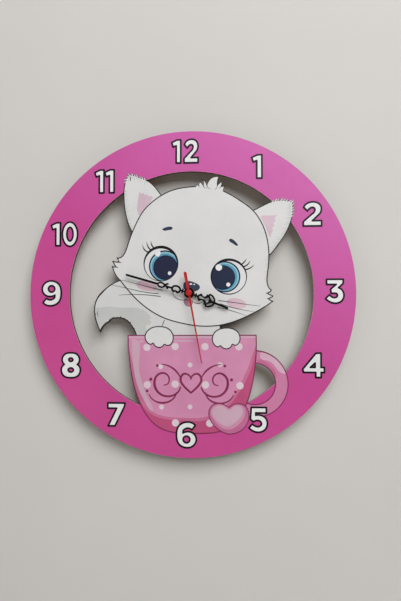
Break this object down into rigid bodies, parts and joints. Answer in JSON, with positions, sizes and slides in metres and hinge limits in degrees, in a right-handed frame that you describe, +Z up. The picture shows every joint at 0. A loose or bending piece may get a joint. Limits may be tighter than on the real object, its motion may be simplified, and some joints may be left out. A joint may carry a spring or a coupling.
{
  "type": "wall clock",
  "caption": "Round wall clock: a cut-out plate with a printed kitten in a mug inside a numbered ring, pierced hands and a battery quartz movement behind.",
  "frame": {"origin": "on the hands' axis, in the plane of the wall that the movement's back rests on", "axes": "+X to the right seen from the front, +Y back into the wall, +Z up"},
  "size_m": [0.35, 0.0328, 0.35],
  "materials": {
    "mdf_board": "laser-cut medium-density fibreboard, charred edge",
    "brass": "turned brass",
    "black_rubber": "matt",
    "black_lacquer": "thin sheet, satin black lacquer",
    "red_lacquer": "thin sheet, red lacquer",
    "white_acetal": "moulded",
    "spring_steel": "rolled strip",
    "magnet": "sintered",
    "knob_plastic": "moulded, fluted",
    "black_abs": "moulded, fine grain",
    "black_abs_cover": "moulded, satin",
    "grey_plastic": "moulded",
    "soft_iron": "stamped",
    "natural_nylon": "moulded",
    "copper_wire": "enamelled winding",
    "board_laminate": "solder mask",
    "tinned_steel": "drawn can",
    "black_resin": "domed drop",
    "cell_wrap": "film wrap over a can",
    "cell_steel": "nickel plated",
    "print_ring": "ultraviolet-cured print, pink ring",
    "print_kitten": "ultraviolet-cured print, off-white coat",
    "print_shade": "ultraviolet-cured print, soft grey and pink shading",
    "print_mug": "ultraviolet-cured print, pink mug",
    "print_dark": "ultraviolet-cured print, dark lines and pupils",
    "print_eye": "ultraviolet-cured print, blue iris",
    "print_white": "ultraviolet-cured print, white numerals and lights"
  },
  "bodies": {
    "movement": {"dial_plate": "mdf_board", "threaded_bushing": "brass", "rubber_washer": "black_rubber", "brass_washer": "brass", "hex_nut": "brass", "movement_case_front": "black_abs", "movement_back_cover": "black_abs_cover", "middle_plate": "grey_plastic", "stator": "soft_iron", "coil_core": "soft_iron", "coil_bobbin": "natural_nylon", "coil_winding": "copper_wire", "circuit_board": "board_laminate", "quartz_crystal": "tinned_steel", "chip_resin_drop": "black_resin", "positive_contact": "spring_steel", "negative_contact": "spring_steel"},
    "minute": {"minute_hand": "black_lacquer", "minute_cannon": "brass", "clutch_spring": "spring_steel"},
    "hour": {"hour_hand": "black_lacquer", "hour_wheel": "white_acetal"},
    "motion": {"motion_wheel": "white_acetal"},
    "knob": {"setting_knob": "knob_plastic"},
    "second": {"second_hand": "red_lacquer", "second_hand_hub": "red_lacquer", "second_wheel": "white_acetal"},
    "third": {"third_wheel": "white_acetal"},
    "centre_drive": {"centre_drive_wheel": "white_acetal"},
    "fifth": {"fifth_wheel": "white_acetal"},
    "rotor": {"rotor_shaft": "white_acetal", "rotor_magnet": "magnet"},
    "battery": {"battery_body": "cell_wrap", "battery_cap": "cell_steel"}
  },
  "joints": [
    {"name": "minute_turn", "type": "hinge", "parent": "movement", "child": "minute", "pos_m": [0, 0, 0], "axis": [0, 1, 0], "continuous": true},
    {"name": "hour_turn", "type": "hinge", "parent": "movement", "child": "hour", "pos_m": [0, 0, 0], "axis": [0, 1, 0], "continuous": true},
    {"name": "motion_turn", "type": "hinge", "parent": "movement", "child": "motion", "pos_m": [-0.00739, 0, -0.0013], "axis": [0, 1, 0], "continuous": true},
    {"name": "knob_turn", "type": "hinge", "parent": "movement", "child": "knob", "pos_m": [-0.01477, 0, -0.0026], "axis": [0, 1, 0], "continuous": true},
    {"name": "second_turn", "type": "hinge", "parent": "movement", "child": "second", "pos_m": [0, 0, 0], "axis": [0, 1, 0], "continuous": true},
    {"name": "third_turn", "type": "hinge", "parent": "movement", "child": "third", "pos_m": [0.00886, 0, 0.00156], "axis": [0, 1, 0], "continuous": true},
    {"name": "centre_drive_turn", "type": "hinge", "parent": "movement", "child": "centre_drive", "pos_m": [0, 0, 0], "axis": [0, 1, 0], "continuous": true},
    {"name": "fifth_turn", "type": "hinge", "parent": "movement", "child": "fifth", "pos_m": [-0.00308, 0, 0.00846], "axis": [0, 1, 0], "continuous": true},
    {"name": "rotor_turn", "type": "hinge", "parent": "movement", "child": "rotor", "pos_m": [-0.00793, 0, 0.01126], "axis": [0, 1, 0], "continuous": true},
    {"name": "battery_slide", "type": "slide", "parent": "movement", "child": "battery", "axis": [0, 1, 0], "range_m": [0, 0.03]}
  ],
  "couplings": [
    {"joint": "hour_turn", "follows": "minute_turn", "ratio": 0.083333},
    {"joint": "motion_turn", "follows": "minute_turn", "ratio": -0.33333},
    {"joint": "knob_turn", "follows": "minute_turn", "ratio": 1},
    {"joint": "third_turn", "follows": "second_turn", "ratio": -0.125},
    {"joint": "centre_drive_turn", "follows": "second_turn", "ratio": 0.016667},
    {"joint": "fifth_turn", "follows": "second_turn", "ratio": -5},
    {"joint": "rotor_turn", "follows": "second_turn", "ratio": 30}
  ]
}
